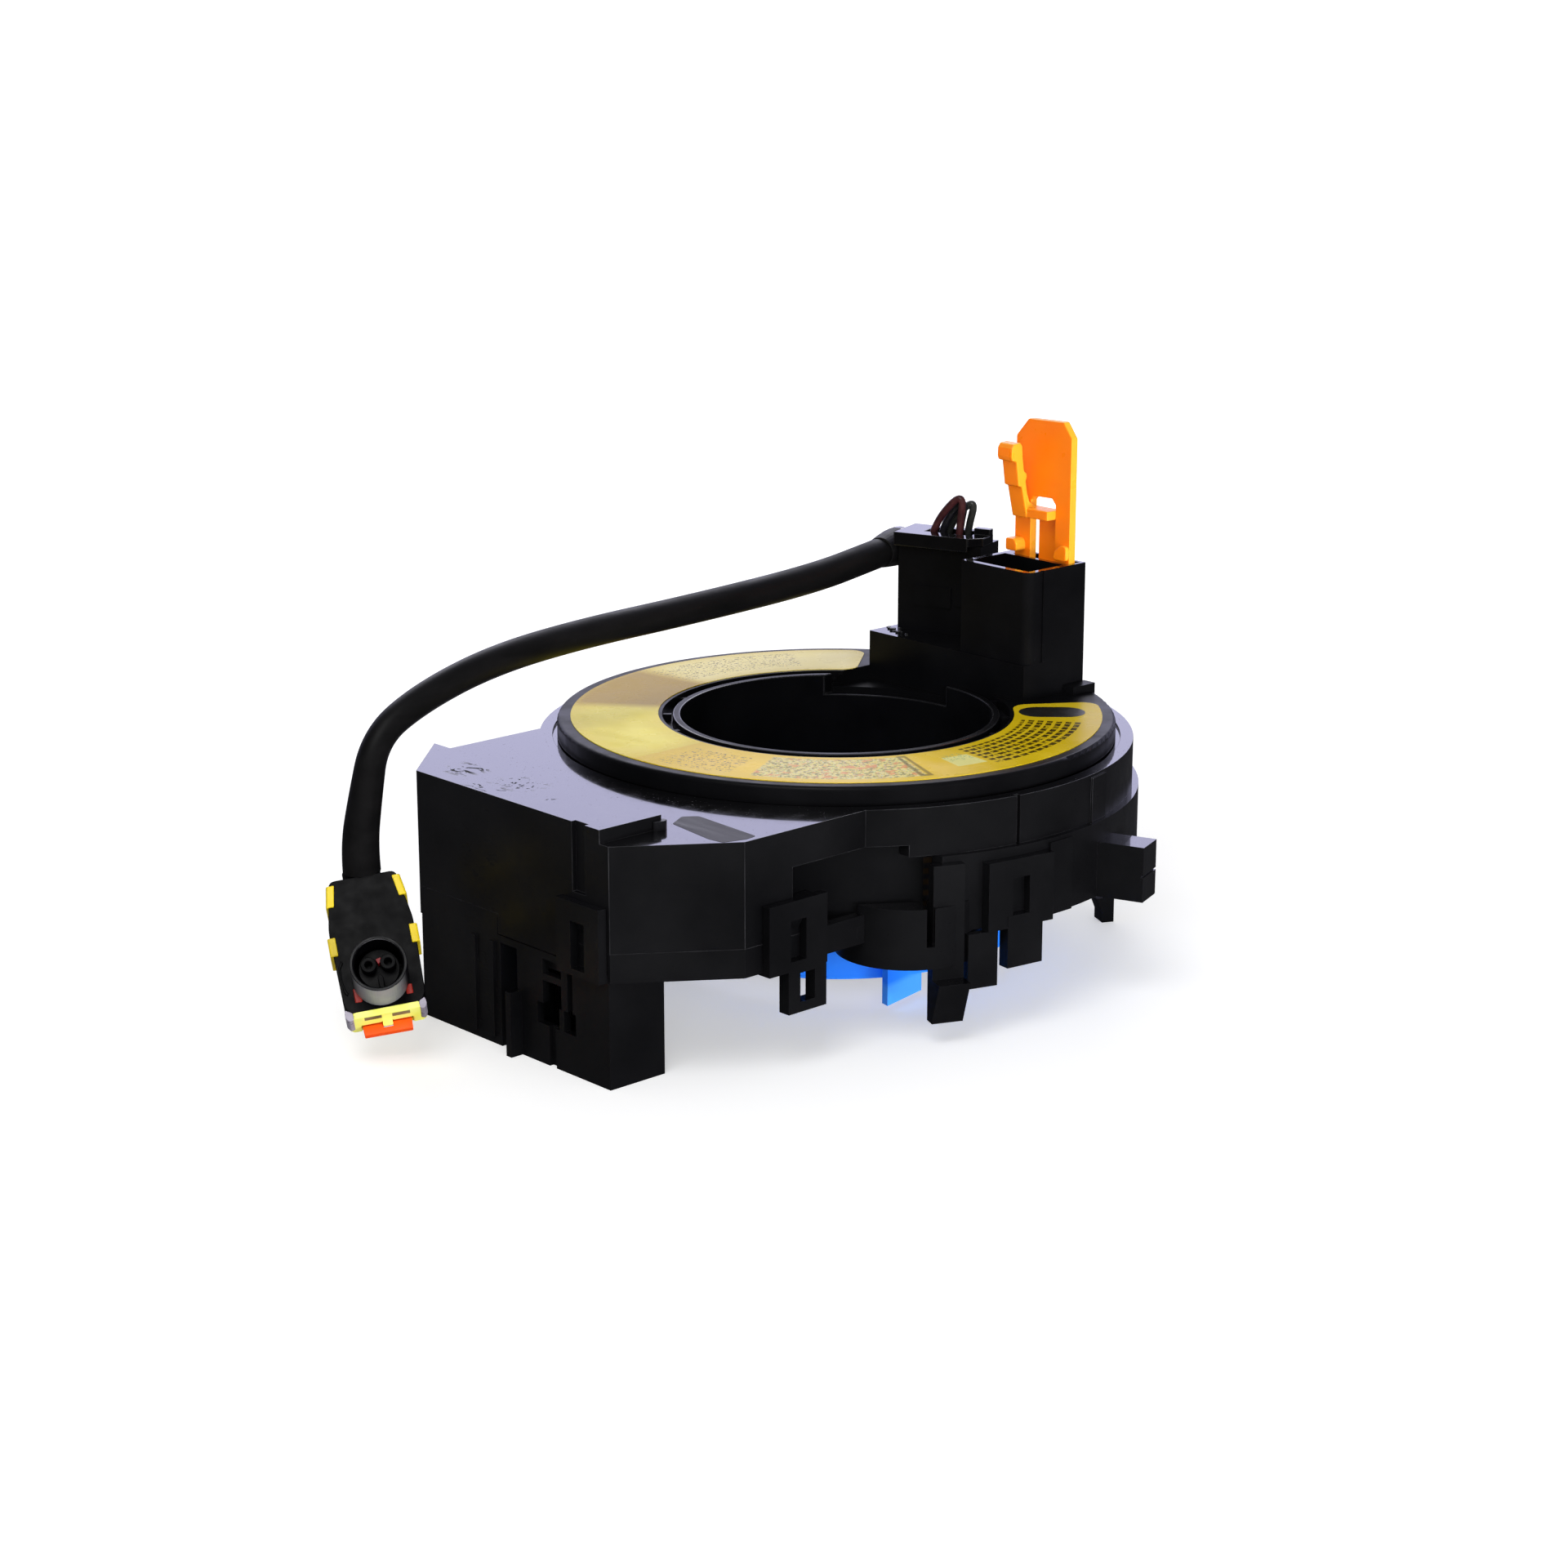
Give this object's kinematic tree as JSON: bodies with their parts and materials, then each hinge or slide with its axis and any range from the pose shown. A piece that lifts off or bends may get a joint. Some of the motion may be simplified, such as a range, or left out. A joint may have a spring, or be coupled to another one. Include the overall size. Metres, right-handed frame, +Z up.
{
  "type": "steering clock spring",
  "caption": "Steering clock spring with a turning ring, a connector tower with an orange lock tab, and a sleeved lead that ends in a yellow airbag plug.",
  "frame": {"origin": "centre of the hub bore at the top face of the turning ring", "axes": "+Z up along the steering axis towards the driver, -X towards the harness sockets' side, -Y towards the side bracket"},
  "size_m": [0.166, 0.1199, 0.0975],
  "materials": {
    "housing": "moulded, semi-gloss",
    "rotor": "moulded, semi-gloss",
    "pin": "tinned",
    "flat_cable": "polyester film",
    "cam_blue": "moulded",
    "label_yellow": "printed film",
    "wire_brown": "satin",
    "wire_black": "satin",
    "wire_grey": "satin",
    "sleeve": "satin",
    "plug_black": "moulded",
    "plug_yellow": "moulded",
    "plug_red": "moulded",
    "tab_orange": "moulded"
  },
  "bodies": {
    "housing": {"housing_upper": "housing", "housing_lower": "housing", "contact_carrier": "housing", "harness_pins_near": "pin", "harness_pins_far": "pin", "flat_cable": "flat_cable"},
    "rotor": {"rotor_disc": "rotor", "rotor_sleeve": "rotor", "cancel_cam": "cam_blue", "label": "label_yellow", "tower_cap": "rotor", "switch_pins": "pin", "lead_wire_1": "wire_brown", "lead_wire_2": "wire_black", "lead_wire_3": "wire_grey", "lead_sleeve": "sleeve", "squib_body": "plug_black", "squib_contacts": "pin", "squib_cover": "plug_yellow"},
    "lock_tab": {"lock_tab": "tab_orange"},
    "squib_lock": {"squib_lock": "plug_red"}
  },
  "joints": [
    {"name": "rotor_turn", "type": "hinge", "parent": "housing", "child": "rotor", "pos_m": [0, 0, 0], "axis": [0, 0, 1], "range_deg": [-900, 900], "deforming": ["flat_cable"]},
    {"name": "lock_tab_pull", "type": "slide", "parent": "rotor", "child": "lock_tab", "axis": [0, 0, 1], "range_m": [0, 0.024]},
    {"name": "squib_lock_push", "type": "slide", "parent": "rotor", "child": "squib_lock", "axis": [0.2239, 0.5603, 0.7975], "range_m": [0, 0.0015]}
  ]
}
